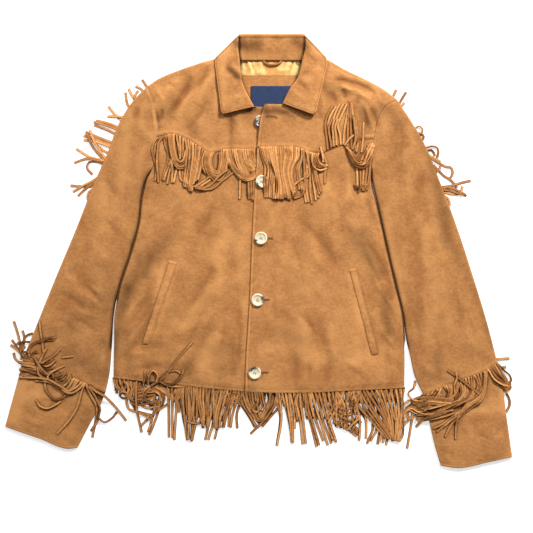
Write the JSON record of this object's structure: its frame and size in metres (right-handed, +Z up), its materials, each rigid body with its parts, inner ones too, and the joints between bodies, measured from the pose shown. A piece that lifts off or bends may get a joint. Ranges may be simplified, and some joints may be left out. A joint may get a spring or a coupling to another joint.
{
  "type": "fringed suede jacket laid flat",
  "caption": "Western style suede jacket with long fringe on yokes, sleeves, cuffs and hem, shirt collar, slanted welt pockets and round buttons, laid flat and face up.",
  "frame": {"origin": "middle of the outline, on the surface that the jacket lies on", "axes": "+X towards the wearer's left sleeve, +Y from the hem towards the collar, +Z up out of the front"},
  "size_m": [0.9243, 0.7872, 0.0179],
  "materials": {
    "suede": "napped matt suede, tan",
    "fringe": "cut suede strands, matt",
    "satin": "gold satin",
    "label": "woven, matt",
    "horn": "polished, horn-like"
  },
  "bodies": {
    "root": {"back": "suede", "front_right": "suede", "front_left": "suede", "yoke_right": "suede", "yoke_left": "suede", "sleeve_top_right": "suede", "sleeve_under_right": "suede", "cuff_top_right": "suede", "cuff_under_right": "suede", "sleeve_top_left": "suede", "sleeve_under_left": "suede", "cuff_top_left": "suede", "cuff_under_left": "suede", "collar_back": "suede", "collar_leaf_right": "suede", "collar_leaf_left": "suede", "lining": "satin", "neck_facing": "suede", "label": "label", "hanger_loop": "suede", "pocket_welt_right": "suede", "pocket_welt_left": "suede", "button_1": "horn", "button_2": "horn", "button_3": "horn", "button_4": "horn", "button_5": "horn", "yoke_fringe_right": "fringe", "yoke_fringe_left": "fringe", "hem_fringe_right": "fringe", "hem_fringe_left": "fringe", "hem_fringe_back": "fringe", "cuff_fringe_right": "fringe", "cuff_fringe_left": "fringe", "sleeve_fringe_right": "fringe", "sleeve_fringe_left": "fringe"}
  },
  "joints": []
}
